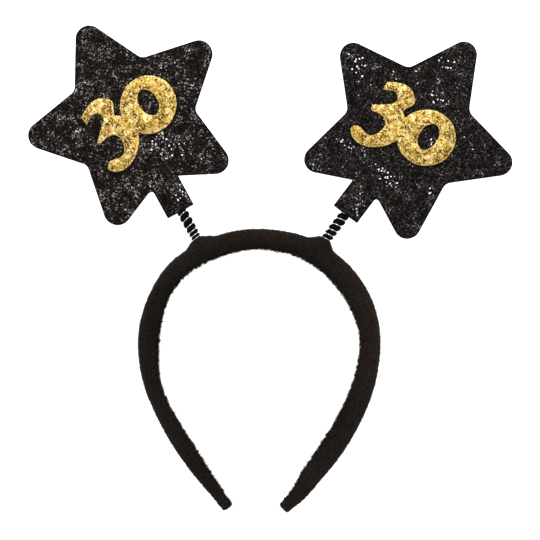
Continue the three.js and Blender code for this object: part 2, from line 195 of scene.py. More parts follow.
# Each star on its spring: how close the wire's turns lie at the collar and where they start, as a share
# of a turn. Then how high its collar stands above the hoop, and how fast it widens and moves to the
# right down to it.
# Then its star's size, its turn on the tab, how long its tips were cut and by how many degrees they
# lean to the left, how deep its notches were cut, all counted from the top one towards the left, the
# roundness of both, how much further up it sits, the tab's offset, how round it leaves the star on its
# left and right, the number's place on the star, and where the white flakes of painted glints lie
# thickest.
BOPPERS = [
    {
        "side": "left",
        "pitch": 1.8,
        "wind": 0.58,
        "collar": 2.4,
        "flare": 1.9,
        "foot_right": 0,
        "size": 0.983,
        "turn": -1.3,
        "tips": (1, 0.994, 1.009, 1.005, 1.029),
        "leans": (0.6, 0.5, -0.4, 0.9, -0.5),
        "notches": (1.019, 1.007, 1.005, 1, 0.991),
        "tip_round": 7.2,
        "notch_round": 4.8,
        "star_up": 0.2,
        "tab_across": -0.55,
        "shoulder_rounds": (1.9, 0.3),
        "arm": "pointed",
        "number_across": -2.3,
        "number_up": 1.1,
        "sparkles": [
            {"across": 5.2, "up": 27, "spread": 6},
            {"across": 15.1, "up": 48, "spread": 5},
            {"across": 7.6, "up": 52, "spread": 8},
        ],
    },
    {
        "side": "right",
        "pitch": 2.5,
        "wind": 0.19,
        "collar": 3.5,
        "flare": 1.3,
        "foot_right": 0.22,
        "size": 1,
        "turn": 0.7,
        "tips": (1.008, 0.99, 1.006, 0.997, 1.022),
        "leans": (0.5, 0.7, -0.3, 0, -0.5),
        "notches": (0.98, 0.985, 1.01, 1, 0.992),
        "tip_round": 7,
        "notch_round": 5.8,
        "star_up": 0.6,
        "tab_across": 0.1,
        "shoulder_rounds": (0.3, 1.6),
        "arm": "blunt",
        "number_across": -3.9,
        "number_up": 1.5,
        "sparkles": [
            {"across": -41, "up": 83.5, "spread": 5},
            {"across": -6.5, "up": 113.7, "spread": 5},
            {"across": 3, "up": 96.9, "spread": 6},
            {"across": -21.4, "up": 49.2, "spread": 6},
            {"across": 4.6, "up": 45.7, "spread": 5},
            {"across": 12.7, "up": 77.1, "spread": 4},
            {"across": 29.6, "up": 54, "spread": 3},
            {"across": 3.4, "up": 22.8, "spread": 4},
            {"across": -29.7, "up": 24.3, "spread": 3},
        ],
    },
]

# The figure three, clockwise from the end of its top stroke, as shares of its height. A corner is
# sharp, and the outline runs smoothly through every other point. Its middle arm was cut in one of two
# ways, with rows of its own for each.
FIGURE_THREE = [
    {"x": -0.46, "y": 0.433, "corner": True},
    {"x": -0.343, "y": 0.478},
    {"x": -0.206, "y": 0.501},
    {"x": -0.096, "y": 0.471},
    {"x": -0.021, "y": 0.391},
    {"x": 0.005, "y": 0.323},
    {"x": -0.048, "y": 0.234},
    {"x": -0.093, "y": 0.162, "corner": True},
    {"x": -0.027, "y": 0.099, "corner": True},
    {"x": 0.069, "y": 0.055, "corner": True},
    {"x": 0.069, "y": -0.179, "corner": True},
    {"x": 0, "y": -0.245},
    {"x": -0.069, "y": -0.337},
    {"x": -0.179, "y": -0.423},
    {"x": -0.302, "y": -0.481},
    {"x": -0.412, "y": -0.499},
    {"x": -0.522, "y": -0.477},
    {"x": -0.598, "y": -0.419},
    {"x": -0.629, "y": -0.35},
    {"x": -0.602, "y": -0.313},
    {"x": -0.549, "y": -0.286},
    {"x": -0.495, "y": -0.297},
    {"x": -0.426, "y": -0.327},
    {"x": -0.35, "y": -0.33},
    {"x": -0.286, "y": -0.282},
    {"x": -0.242, "y": -0.199},
    {"x": -0.229, "y": -0.124},
    {"x": -0.254, "y": -0.058},
    {"x": -0.323, "y": -0.016},
    {"x": -0.398, "y": -0.008, "arm": "blunt"},
    {"x": -0.478, "y": -0.011, "arm": "blunt"},
    {"x": -0.503, "y": 0.027, "arm": "blunt"},
    {"x": -0.485, "y": 0.074, "arm": "blunt"},
    {"x": -0.433, "y": 0.093, "arm": "blunt"},
    {"x": -0.488, "y": -0.012, "corner": True, "arm": "pointed"},
    {"x": -0.515, "y": 0.022, "corner": True, "arm": "pointed"},
    {"x": -0.33, "y": 0.155},
    {"x": -0.247, "y": 0.209},
    {"x": -0.229, "y": 0.261},
    {"x": -0.247, "y": 0.319},
    {"x": -0.295, "y": 0.354},
    {"x": -0.357, "y": 0.352},
    {"x": -0.467, "y": 0.306, "corner": True},
]
NOUGHT_OUTSIDE = {"x": 0.357, "y": -0.023, "across": 0.403, "up": 0.384, "lean": 33}
NOUGHT_HOLE = {"x": 0.378, "y": 0, "across": 0.126, "up": 0.196, "lean": -7}

# How the loose things are strewn: how many for each square millimetre, the seed, the smallest and the
# largest as shares of the one that is modelled, by how many degrees they tilt, and how many
# millimetres of the border they leave bare.
STREWN = {
    "headband_nap": {"per_mm2": 1.9, "seed": 11, "sizes": (0.3, 0.85), "tilt": 62},
    "headband_inner_nap": {"per_mm2": 2.0, "seed": 12, "sizes": (0.4, 1.1), "tilt": 62},
    "headband_stray_fibres": {"per_mm2": 0.6, "seed": 13, "sizes": (1.0, 1.6), "tilt": 62},
    "left_front_flakes": {"per_mm2": 1.5, "seed": 20, "sizes": (0.5, 1.35), "tilt": 16, "margin": 0.42},
    "left_back_flakes": {"per_mm2": 1.1, "seed": 21, "sizes": (0.5, 1.35), "tilt": 16, "margin": 0.42},
    "right_front_flakes": {"per_mm2": 1.5, "seed": 30, "sizes": (0.5, 1.35), "tilt": 16, "margin": 0.42},
    "right_back_flakes": {"per_mm2": 1.1, "seed": 31, "sizes": (0.5, 1.35), "tilt": 16, "margin": 0.42},
    "left_sparkles": {"per_mm2": 0.12, "seed": 52, "sizes": (0.55, 1.05), "tilt": 8, "margin": 0.3},
    "right_sparkles": {"per_mm2": 0.15, "seed": 53, "sizes": (0.55, 1.05), "tilt": 8, "margin": 0.3},
    "left_number_flakes": {"per_mm2": 1.5, "seed": 60, "sizes": (0.4, 1.1), "tilt": 12, "margin": 0.4},
    "right_number_flakes": {"per_mm2": 1.5, "seed": 61, "sizes": (0.4, 1.1), "tilt": 12, "margin": 0.4},
}


# Small helpers


def smoothstep(value, low, high):
    share = min(max((value - low) / (high - low), 0), 1)
    return share * share * (3 - 2 * share)


def lerp(a, b, share):
    return a + (b - a) * share


def node(tree, kind, sockets=None, **settings):
    """A new node with its settings, its sockets linked to other sockets or set to plain values."""
    made = tree.nodes.new(kind)
    for key, value in settings.items():
        setattr(made, key, value)
    for key, value in (sockets or {}).items():
        if isinstance(value, bpy.types.NodeSocket):
            tree.links.new(value, made.inputs[key])
        else:
            made.inputs[key].default_value = value
    return made


def put_in_order(bm):
    """Numbers corners, edges and faces by where they lie, so that each run strews them alike."""
    for number, vert in enumerate(sorted(bm.verts, key=lambda vert: tuple(vert.co))):
        vert.index = number
    bm.verts.sort()
    for parts in (bm.edges, bm.faces):
        ordered = sorted(parts, key=lambda part: sorted(vert.index for vert in part.verts))
        for number, part in enumerate(ordered):
            part.index = number
        parts.sort()


def finished(name, bm, place=None):
    """A piece made from a bmesh in millimetres, in its place and in metres."""
    bmesh.ops.recalc_face_normals(bm, faces=bm.faces)
    if place is not None:
        bmesh.ops.transform(bm, matrix=place, verts=bm.verts)
    bmesh.ops.scale(bm, vec=(MM, MM, MM), verts=bm.verts)
    put_in_order(bm)
    mesh = bpy.data.meshes.new(name)
    bm.to_mesh(mesh)
    bm.free()
    piece = bpy.data.objects.new(name, mesh)
    bpy.context.collection.objects.link(piece)
    return piece


def work_in_modifiers(piece):
    graph = bpy.context.evaluated_depsgraph_get()
    mesh = bpy.data.meshes.new_from_object(piece.evaluated_get(graph))
    piece.modifiers.clear()
    piece.data = mesh
    mesh.name = piece.name


def shade_smooth(piece, sharp_above=None):
    piece.data.shade_smooth()
    if sharp_above is not None:
        piece.data.set_sharp_from_angle(angle=math.radians(sharp_above))


# Smooth lines through a table's rows


def hermite(before, a, b, after, share, steps):
    """A point between a and b on a smooth line, with the parameter's steps between the four points."""
    s0, s1, s2 = steps
    leave = ((a - before) / s0 - (b - before) / (s0 + s1) + (b - a) / s1) * s1
    arrive = ((b - a) / s1 - (after - a) / (s1 + s2) + (after - b) / s2) * s1
    square, cube = share * share, share**3
    return (
        a * (2 * cube - 3 * square + 1)
        + leave * (cube - 2 * square + share)
        + b * (3 * square - 2 * cube)
        + arrive * (cube - square)
    )


def through(points, t, centripetal):
    """The point at a share t of the way through the points, counted in points."""
    place = t * (len(points) - 1)
    i = min(int(place), len(points) - 2)
    before = points[i - 1] if i > 0 else 2 * points[0] - points[1]
    after = points[i + 2] if i + 2 < len(points) else 2 * points[-1] - points[-2]
    four = [before, points[i], points[i + 1], after]
    steps = (1, 1, 1)
    if centripetal:
        steps = [math.sqrt((b - a).length) for a, b in zip(four, four[1:])]
    return hermite(*four, place - i, steps)


# The hoop's line

hoop_middle = HOOP_DEEP / 2 - HOOP_FLAT
hoop_points = [
    Vector(
        (
            HOOP_MIDDLE_ACROSS + row["across"] * HOOP_WIDTH / 2,
            HOOP_TIPS_UP + row["up"] * HOOP_HEIGHT,
            hoop_middle,
        )
    )
    for row in HOOP_LINE
]
hoop_girths = [
    Vector((row["thick"] * HOOP_THICK, row["deep"] * HOOP_DEEP, row["push"])) for row in HOOP_LINE
]
LENGTH_STEPS = 800
hoop_lengths = [0.0]
for step in range(LENGTH_STEPS):
    a, b = (through(hoop_points, (step + i) / LENGTH_STEPS, True) for i in (0, 1))
    hoop_lengths.append(hoop_lengths[-1] + (b - a).length)
hoop_length = hoop_lengths[-1]


def hoop_at(along):
    """The hoop's middle, its outward and forward directions, its thickness and depth, and its push."""
    wanted = along * hoop_length
    low = max(i for i, length in enumerate(hoop_lengths[:-1]) if length <= wanted + 1e-9)
    part = (wanted - hoop_lengths[low]) / (hoop_lengths[low + 1] - hoop_lengths[low])
    t = min((low + part) / LENGTH_STEPS, 1)
    nudge = 1e-4
    middle = through(hoop_points, t, True)
    forward = through(hoop_points, min(t + nudge, 1), True) - through(hoop_points, max(t - nudge, 0), True)
    forward.normalize()
    girth = through(hoop_girths, t, False)
    outward = Vector((-forward.y, forward.x, 0))
    return middle, outward, forward, girth.x, min(girth.y, HOOP_DEEP), girth.z


# Where each spring stands: Y runs up the spring from the collar's rim, Z out of the star's front.

half_lobe = math.atan2(
    STAR_INNER_RADIUS * math.sin(math.pi / STAR_POINTS),
    STAR_SHARP_RADIUS - STAR_INNER_RADIUS * math.cos(math.pi / STAR_POINTS),
)
star_rounded_radius = STAR_SHARP_RADIUS - STAR_POINT_ROUND / math.sin(half_lobe) + STAR_POINT_ROUND


def place_of(bopper):
    """The matrix that carries a bopper's own frame to its place, told from its packed joint, which
    lies across the spring halfway up it."""
    joint = next(joint for joint in frame["joints"] if joint["name"] == f"{bopper['side']}_bob")
    across = Vector(joint["axis"])
    reach = spring_reach + bopper["size"] * star_rounded_radius
    droop = math.asin(hoop_middle / math.hypot(reach, sheet_top)) - math.atan2(sheet_top, reach)
    turn = Matrix.Rotation(math.atan2(across.y, across.x), 4, "Z") @ Matrix.Rotation(-droop, 4, "X")
    middle = Matrix.Translation(Vector(joint["pos_m"]) / MM)
    return middle @ turn @ Matrix.Translation((0, -SPRING_SHOWN / 2, 0))


for bopper in BOPPERS:
    bopper["place"] = place_of(bopper)


# Lofted shapes

UP = Vector((0, 1, 0))


def loft(bm, stations, sides, squareness=2.0):
    """Adds a closed skin: a ring drawn at the first station and extruded to each of the others."""
    ring = bmesh.ops.create_circle(bm, segments=sides, radius=1)["verts"]
    for vert in ring:
        for axis in (0, 1):
            value = vert.co[axis]
            vert.co[axis] = math.copysign(abs(value) ** (2 / squareness), value)
    bmesh.ops.transform(bm, matrix=stations[0], verts=ring)
    edges = list(dict.fromkeys(edge for vert in ring for edge in vert.link_edges))
    ends = list(edges)
    for before, after in zip(stations, stations[1:]):
        made = bmesh.ops.extrude_edge_only(bm, edges=edges)["geom"]
        ring = [g for g in made if isinstance(g, bmesh.types.BMVert)]
        fresh = set(ring)
        edges = [g for g in made if isinstance(g, bmesh.types.BMEdge) and fresh.issuperset(g.verts)]
        bmesh.ops.transform(bm, matrix=after @ before.inverted(), verts=ring)
    bmesh.ops.holes_fill(bm, edges=ends + edges, sides=0)


def station(middle, across, rise, forward):
    """The matrix that carries a unit ring to its place."""
    return Matrix([[*row] for row in zip(across, rise, forward, middle)] + [[0, 0, 0, 1]])


# The headband


def hoop_station(along, scale=1.0):
    middle, outward, forward, thick, deep, push = hoop_at(along)
    rise = Vector((0, 0, scale * deep / 2))
    return station(middle + outward * push, outward * scale * thick / 2, rise, forward)


def hoop_stations():
    """Stations along the hoop, closer and smaller where the tips round off."""
    stations = []
    for i in range(TIP_ROUND_STEPS):
        angle = math.pi / 2 * i / TIP_ROUND_STEPS
        scale = lerp(TIP_END_SHARE, 1, math.sin(angle))
        stations.append((TIP_ROUND / hoop_length * (1 - math.cos(angle)), scale))
    start = TIP_ROUND / hoop_length
    middle = [(lerp(start, 1 - start, i / HOOP_STATIONS), 1) for i in range(HOOP_STATIONS + 1)]
    end = [(1 - along, scale) for along, scale in reversed(stations)]
    return [hoop_station(along, scale) for along, scale in stations + middle + end]


def collar_stations(bopper):
    rim_radius = SPRING_RADIUS * SPRING_NECK_SHARE + FIT_GAP + COLLAR_WALL
    stations = []
    for i in range(COLLAR_STEPS + 1):
        down = (bopper["collar"] + COLLAR_ROOT) * (1 - i / COLLAR_STEPS)
        across = rim_radius + bopper["flare"] * down
        rise = lerp(rim_radius, COLLAR_FOOT_RISE, smoothstep(down, 0, COLLAR_RISE_DEPTH))
        middle = Vector((bopper["foot_right"] * down, -down, 0))
        ring = station(middle, Vector((across, 0, 0)), Vector((0, 0, -rise)), UP)
        stations.append(bopper["place"] @ ring)
    return stations


def inwardness(place, normal):
    """How far a spot of the felt looks to the inside of the hoop, from -1 to 1."""
    up = HOOP_TIPS_UP + HEAD_MIDDLE_UP_SHARE * HOOP_HEIGHT
    middle = Vector((HOOP_MIDDLE_ACROSS, up, 0)) * MM
    return normal.xy.dot((middle - place).xy.normalized())


def make_headband():
    """The felt skin: hoop and collars grown together, and softened where they meet."""
    bm = bmesh.new()
    loft(bm, hoop_stations(), HOOP_SIDES, HOOP_SQUARENESS)
    for bopper in BOPPERS:
        loft(bm, collar_stations(bopper), COLLAR_SIDES)
    for vert in bm.verts:
        vert.co.z = max(vert.co.z, 0)
    piece = finished("headband_felt", bm)
    piece.modifiers.new("grown together", "REMESH").voxel_size = FELT_VOXEL * MM
    smooth = piece.modifiers.new("softened", "SMOOTH")
    smooth.factor, smooth.iterations = FELT_SOFTENING, FELT_SOFTENING_PASSES
    work_in_modifiers(piece)
    places = []
    for vert in piece.data.vertices:
        where = vert.co / (LUMP_SIZE * MM)
        inner = max(inwardness(vert.co, vert.normal), 0)
        lump = noise.noise(where) + FINE_LUMP_SHARE * noise.noise(FINE_LUMP_FREQUENCY * where)
        lump -= INNER_SINK * inner
        lump *= 1 + INNER_LUMPS * inner
        places.append(vert.co + vert.normal * lump * LUMP_HEIGHT * MM)
    for vert, place in zip(piece.data.vertices, places):
        vert.co = (place.x, place.y, max(place.z, 0))
    return piece


# Springs


def swollen(y):
    """The spring's girth as a share: slim in the collar, swollen where it shows, plain in the tab."""
    shown = lerp(SPRING_SUNK_SHARE, SPRING_SWELL, smoothstep(y, -SPRING_NECK_FADE, SPRING_NECK_FADE / 3))
    return lerp(shown, 1, smoothstep(y, SPRING_SHOWN - 2, SPRING_SHOWN))


def coil_radius(y):
    return (SPRING_RADIUS - WIRE_INSET) * swollen(y) - WIRE_DIAMETER / 2


def pitch_at(bopper, y):
    return lerp(bopper["pitch"], PITCH_AT_TAB, smoothstep(y, 0, PITCH_REACH))


def coil_heights(bopper):
    """The heights that the wire passes, one for each step of a turn."""
    heights = [-SPRING_IN_COLLAR]
    while heights[-1] < spring_top:
        heights.append(heights[-1] + pitch_at(bopper, heights[-1]) / STEPS_PER_TURN)
    return heights


def on_coil(bopper, step, y, radius):
    angle = -2 * math.pi * (step / STEPS_PER_TURN + bopper["wind"])
    return Vector((radius * math.cos(angle), y, radius * math.sin(angle)))


def make_spring_wire(bopper):
    middles = [on_coil(bopper, i, y, coil_radius(y)) for i, y in enumerate(coil_heights(bopper))]
    stations = []
    for i, middle in enumerate(middles):
        forward = (middles[min(i + 1, len(middles) - 1)] - middles[max(i - 1, 0)]).normalized()
        outward = on_coil(bopper, i, 0, 1)
        side = forward.cross(outward).normalized()
        outward = side.cross(forward)
        radius = WIRE_DIAMETER / 2
        stations.append(station(middle, outward * radius, side * radius, forward))
    bm = bmesh.new()
    loft(bm, stations, WIRE_SIDES)
    piece = finished(f"{bopper['side']}_coil", bm, bopper["place"])
    shade_smooth(piece, 60)
    return piece


def make_spring_core(bopper):
    """The cloth core, which swells between the turns of the wire and is pinched under each."""
    heights = coil_heights(bopper)
    bm = bmesh.new()
    stations = [station(y * UP, Vector((1, 0, 0)), Vector((0, 0, -1)), UP) for y in heights]
    loft(bm, stations, STEPS_PER_TURN)
    for vert in bm.verts:
        y = vert.co.y
        here = -math.atan2(vert.co.z, vert.co.x) / (2 * math.pi)
        row = min(range(len(heights)), key=lambda i: abs(heights[i] - y))
        turns = row / STEPS_PER_TURN + bopper["wind"] - here
        from_wire = abs(turns - round(turns)) * pitch_at(bopper, y)
        uneven = 1 + CORE_UNEVENNESS * noise.noise(vert.co * CORE_UNEVEN_FREQUENCY)
        ridge = SPRING_RADIUS * swollen(y) * uneven
        groove = coil_radius(y) - WIRE_DIAMETER / 2 + GROOVE_CLEAR_OF_WIRE
        pinch = math.exp(-((from_wire / GROOVE_WIDTH) ** 4))
        radius = lerp(ridge, groove, pinch)
        vert.co.x *= radius
        vert.co.z *= radius
    piece = finished(f"{bopper['side']}_core", bm, bopper["place"])
    shade_smooth(piece)
    return piece


# The stars' sheets


def round_corner(bm, corner, radius, steps):
    """Rounds one corner of a flat outline to a true arc."""
    arms = [(edge.other_vert(corner).co - corner.co).normalized() for edge in corner.link_edges]
    half = arms[0].angle(arms[1]) / 2
    centre = corner.co + (arms[0] + arms[1]).normalized() * radius / math.sin(half)
    made = bmesh.ops.bevel(
        bm,
        geom=[corner],
        offset=radius / math.tan(half),
        offset_type="ABSOLUTE",
        affect="VERTICES",
        segments=steps,
        profile=0.5,
        material=-1,
    )
    for vert in made["verts"]:
        vert.co = centre + (vert.co - centre).normalized() * radius


def cut_face(bm, bopper):
    """The outline that the sheet is cut to, as one face: a rounded star with its tab."""
    tab_left = bopper["tab_across"] - TAB_WIDTH / 2
    tab_right = bopper["tab_across"] + TAB_WIDTH / 2
    size = bopper["size"]
    centre = spring_reach + bopper["star_up"]
    star = bmesh.ops.create_circle(
        bm, segments=2 * STAR_POINTS, radius=STAR_SHARP_RADIUS * size, cap_ends=True
    )["verts"]
    for i in range(STAR_POINTS):
        lean = Matrix.Rotation(math.radians(bopper["leans"][i]), 3, "Z")
        star[2 * i].co = lean @ star[2 * i].co * bopper["tips"][i]
        star[2 * i + 1].co *= bopper["notches"][i] * STAR_INNER_RADIUS / STAR_SHARP_RADIUS
    turn = Matrix.Rotation(math.radians(bopper["turn"]), 4, "Z")
    bmesh.ops.transform(bm, matrix=Matrix.Translation((0, centre, 0)) @ turn, verts=star)
    notch = star[STAR_POINTS]
    tab_corners, shoulders = [], []
    for tip, x in ((star[STAR_POINTS - 1], tab_left), (star[STAR_POINTS + 1], tab_right)):
        share = (x - notch.co.x) / (tip.co.x - notch.co.x)
        _, shoulder = bmesh.utils.edge_split(bm.edges.get((notch, tip)), notch, share)
        _, corner = bmesh.utils.edge_split(bm.edges.get((notch, shoulder)), notch, 0.5)
        corner.co = (x, SPRING_SHOWN, 0)
        tab_corners.append(corner)
        shoulders.append(shoulder)
    notch.co = ((tab_left + tab_right) / 2, SPRING_SHOWN, 0)
    notches = [vert for vert in star[1::2] if vert is not notch]
    for corners, radius, steps in (
        (star[0::2], bopper["tip_round"], 18),
        (notches, bopper["notch_round"], 8),
        (tab_corners, TAB_CORNER_ROUND, 4),
        (shoulders[:1], bopper["shoulder_rounds"][0], 5),
        (shoulders[1:], bopper["shoulder_rounds"][1], 5),
    ):
        for corner in corners:
            round_corner(bm, corner, radius, steps)
    return bm.faces[:]


def bulge_at(x, y):
    """How far the sheet is lifted over the spring, as a share."""
    across = math.cos(min(abs(x) / BULGE_HALF_WIDTH, 1) * math.pi / 2) ** 2
    return across * (1 - smoothstep(y, spring_top - 2, spring_top + BULGE_FADE))


def grid_cuts(bm, axis, places):
    normal = [0, 0, 0]
    normal[axis] = 1
    for place in places:
        point = [0, 0, 0]
        point[axis] = place
        geom = bm.verts[:] + bm.edges[:] + bm.faces[:]
        bmesh.ops.bisect_plane(bm, geom=geom, dist=1e-3, plane_co=point, plane_no=normal)


def make_sheet(bopper):
    """The front sheet of a star, in the bopper's own frame."""
    bm = bmesh.new()
    bottom = cut_face(bm, bopper)
    made = bmesh.ops.extrude_face_region(bm, geom=bottom, use_keep_orig=True)["geom"]
    top = [g for g in made if isinstance(g, bmesh.types.BMFace)]
    lifted = [g for g in made if isinstance(g, bmesh.types.BMVert)]
    bmesh.ops.translate(bm, vec=(0, 0, sheet_top), verts=lifted)
    rim = list(dict.fromkeys(edge for face in top for edge in face.edges))
    bmesh.ops.bevel(
        bm,
        geom=rim,
        offset=SHEET_EDGE_ROUND,
        offset_type="OFFSET",
        affect="EDGES",
        segments=3,
        profile=0.5,
        material=-1,
    )
    fine = [i * FINE_CELL for i in range(-FINE_CELLS, FINE_CELLS + 1)]
    coarse = [
        side * (BULGE_HALF_WIDTH + COARSE_CELL * i)
        for i in range(1, COARSE_COLUMNS + 1)
        for side in (-1, 1)
    ]
    grid_cuts(bm, 0, fine + coarse)
    grid_cuts(bm, 1, [SPRING_SHOWN + COARSE_CELL * i for i in range(1, COARSE_ROWS + 1)])
    channel = SPRING_RADIUS + FIT_GAP / 2
    for vert in bm.verts:
        x, y, z = vert.co
        lift = bulge_at(x, y)
        if z > sheet_top / 2:
            wave = noise.noise(Vector((x / SHEET_WAVE_LENGTH, y / SHEET_WAVE_LENGTH, bopper["turn"])))
            vert.co.z += (channel + BULGE_WALL - sheet_top) * lift + SHEET_WAVE_HEIGHT * wave
        elif y < spring_top and abs(x) < channel:
            vert.co.z = math.sqrt(channel**2 - x**2)
    return bm


def make_star(bopper):
    pieces = []
    for face, mirror in (("front", False), ("back", True)):
        bm = make_sheet(bopper)
        if mirror:
            bmesh.ops.scale(bm, vec=(1, 1, -1), verts=bm.verts)
        piece = finished(f"{bopper['side']}_star_{face}_sheet", bm, bopper["place"])
        shade_smooth(piece, 35)
        pieces.append(piece)
    return pieces


# The numbers


def three_spline(curve, arm):
    rows = [row for row in FIGURE_THREE if row.get("arm", arm) == arm]
    spline = curve.splines.new("BEZIER")
    spline.bezier_points.add(len(rows) - 1)
    for point, row in zip(spline.bezier_points, rows):
        point.co = (row["x"] * NUMBER_HEIGHT, row["y"] * NUMBER_HEIGHT, 0)
        kind = "VECTOR" if row.get("corner") else "AUTO"
        point.handle_left_type = point.handle_right_type = kind
    spline.use_cyclic_u = True


def ellipse_spline(curve, x, y, across, up, lean):
    spline = curve.splines.new("BEZIER")
    spline.bezier_points.add(7)
    turn = Matrix.Rotation(math.radians(lean), 2)
    for i, point in enumerate(spline.bezier_points):
        angle = math.pi / 4 * i
        offset = turn @ Vector((across * math.cos(angle), up * math.sin(angle)))
        point.co = ((x + offset.x) * NUMBER_HEIGHT, (y + offset.y) * NUMBER_HEIGHT, 0)
        point.handle_left_type = point.handle_right_type = "AUTO"
    spline.use_cyclic_u = True


def figure(name, draw):
    """A flat figure of the foam's thickness with softly rounded edges."""
    curve = bpy.data.curves.new(name, "CURVE")
    curve.dimensions = "2D"
    curve.fill_mode = "BOTH"
    curve.resolution_u = 5
    curve.extrude = NUMBER_THICK / 2 - NUMBER_EDGE_ROUND
    curve.bevel_depth = NUMBER_EDGE_ROUND
    curve.bevel_resolution = 2
    curve.offset = -NUMBER_EDGE_ROUND
    draw(curve)
    shape = bpy.data.objects.new(name, curve)
    bpy.context.collection.objects.link(shape)
    graph = bpy.context.evaluated_depsgraph_get()
    mesh = bpy.data.meshes.new_from_object(shape.evaluated_get(graph))
    bpy.data.objects.remove(shape)
    bm = bmesh.new()
    bm.from_mesh(mesh)
    bmesh.ops.remove_doubles(bm, verts=bm.verts, dist=1e-4)
    return bm


def paint_sides(piece, facing, material):
    """Gives the faces that don't look the way the sheet faces a material of their own."""
    piece.data.materials.append(material)
    for face in piece.data.polygons:
        face.material_index = int(face.normal.dot(facing) < SIDE_BELOW)


def drop_slivers(piece):
    """Merges what the union leaves closer together than a hundredth of a millimetre."""
    bm = bmesh.new()
    bm.from_mesh(piece.data)
    bmesh.ops.triangulate(bm, faces=bm.faces)
    bmesh.ops.remove_doubles(bm, verts=bm.verts, dist=SLIVER * MM)
    bmesh.ops.dissolve_degenerate(bm, edges=bm.edges, dist=SLIVER * MM)
    bm.to_mesh(piece.data)
    bm.free()


def make_number(bopper):
    place = bopper["place"] @ Matrix.Translation(
        (
            bopper["number_across"],
            spring_reach + bopper["number_up"],
            sheet_top + FIT_GAP + NUMBER_THICK / 2,
        )
    )
    place = place @ Matrix.Rotation(math.radians(NUMBER_TURN), 4, "Z")

    def three(curve):
        three_spline(curve, bopper["arm"])

    def nought(curve):
        ellipse_spline(curve, **NOUGHT_OUTSIDE)
        ellipse_spline(curve, **NOUGHT_HOLE)

    name = f"{bopper['side']}_thirty"
    piece = finished(name, figure("three", three), place)
    other = finished("nought", figure("nought", nought), place)
    join = piece.modifiers.new("one sheet", "BOOLEAN")
    join.operation, join.solver, join.object = "UNION", "EXACT", other
    work_in_modifiers(piece)
    bpy.data.objects.remove(other)
    drop_slivers(piece)
    shade_smooth(piece, 40)
    return piece


# Small loose things: glitter flakes and felt fibres


def make_flake(name, radius, thick):
    """One six-sided flake of foil, which rises a hair's breadth to its middle."""
    bm = bmesh.new()
    bmesh.ops.create_cone(bm, cap_ends=True, segments=6, radius1=radius, radius2=0, depth=thick)
    bmesh.ops.remove_doubles(bm, verts=bm.verts, dist=radius / 100)
    return finished(name, bm)


def make_fibre(name, radius, length):
    """One felt fibre: a three-sided thread, bent at its waist and drawn out to a point at both ends."""
    bm = bmesh.new()
    waist = bmesh.ops.create_circle(bm, segments=3, radius=radius)["verts"]
    edges = bm.edges[:]
    for end in (Vector(FIBRE_TIP), Vector(FIBRE_ROOT)):
        made = bmesh.ops.extrude_edge_only(bm, edges=edges)["geom"]
        ring = [g for g in made if isinstance(g, bmesh.types.BMVert)]
        bmesh.ops.pointmerge(bm, verts=ring, merge_co=end * length)
    bmesh.ops.translate(bm, vec=(0, 0, FIBRE_LIFT * length), verts=bm.verts)
    return finished(name, bm)


def scatter(carrier, item, per_mm2, seed, sizes, tilt, margin=0.0):
    """Turns the carrier into copies of the item, strewn over its faces but not within the margin of
    their border. Each copy keeps a random shade of its own, from 0 to 1, as an attribute."""
    tree = bpy.data.node_groups.new(carrier.name, "GeometryNodeTree")
    tree.interface.new_socket("Geometry", in_out="INPUT", socket_type="NodeSocketGeometry")
    tree.interface.new_socket("Geometry", in_out="OUTPUT", socket_type="NodeSocketGeometry")
    start = node(tree, "NodeGroupInput")
    strewn = node(
        tree,
        "GeometryNodeDistributePointsOnFaces",
        {"Mesh": start.outputs[0], "Density": per_mm2 / MM**2, "Seed": seed},
    )
    tool = node(tree, "GeometryNodeObjectInfo", {"Object": item, "As Instance": True})
    scale = node(tree, "FunctionNodeRandomValue", {2: sizes[0], 3: sizes[1], 8: seed + 1}, data_type="FLOAT")
    faces_beside = node(tree, "GeometryNodeInputMeshEdgeNeighbors")
    is_border = node(
        tree, "FunctionNodeCompare", {2: faces_beside.outputs[0], 3: 1}, data_type="INT", operation="EQUAL"
    )
    border = node(
        tree,
        "GeometryNodeSeparateGeometry",
        {"Geometry": start.outputs[0], "Selection": is_border.outputs[0]},
        domain="EDGE",
    )
    near = node(tree, "GeometryNodeProximity", {"Geometry": border.outputs[0]}, target_element="EDGES")
    inside = node(
        tree,
        "FunctionNodeCompare",
        {0: near.outputs["Distance"], 1: margin * MM},
        data_type="FLOAT",
        operation="GREATER_EQUAL",
    )
    copies = node(
        tree,
        "GeometryNodeInstanceOnPoints",
        {
            "Points": strewn.outputs["Points"],
            "Selection": inside.outputs[0],
            "Instance": tool.outputs["Geometry"],
            "Rotation": strewn.outputs["Rotation"],
            "Scale": scale.outputs[1],
        },
    )
    lean = math.radians(tilt)
    angles = node(
        tree,
        "FunctionNodeRandomValue",
        {0: (-lean, -lean, -math.pi), 1: (lean, lean, math.pi), 8: seed + 2},
        data_type="FLOAT_VECTOR",
    )
    turned = node(tree, "FunctionNodeEulerToRotation", {"Euler": angles.outputs[0]})
    copies = node(
        tree,
        "GeometryNodeRotateInstances",
        {"Instances": copies.outputs[0], "Rotation": turned.outputs[0], "Local Space": True},
    )
    shade = node(tree, "FunctionNodeRandomValue", {2: 0.0, 3: 1.0, 8: seed + 3}, data_type="FLOAT")
    stored = node(
        tree,
        "GeometryNodeStoreNamedAttribute",
        {"Geometry": copies.outputs[0], "Name": "shade", "Value": shade.outputs[1]},
        data_type="FLOAT",
        domain="INSTANCE",
    )
    real = node(tree, "GeometryNodeRealizeInstances", {"Geometry": stored.outputs[0]})
    node(tree, "NodeGroupOutput", {"Geometry": real.outputs[0]})
    carrier.modifiers.new("strewn", "NODES").node_group = tree
    work_in_modifiers(carrier)


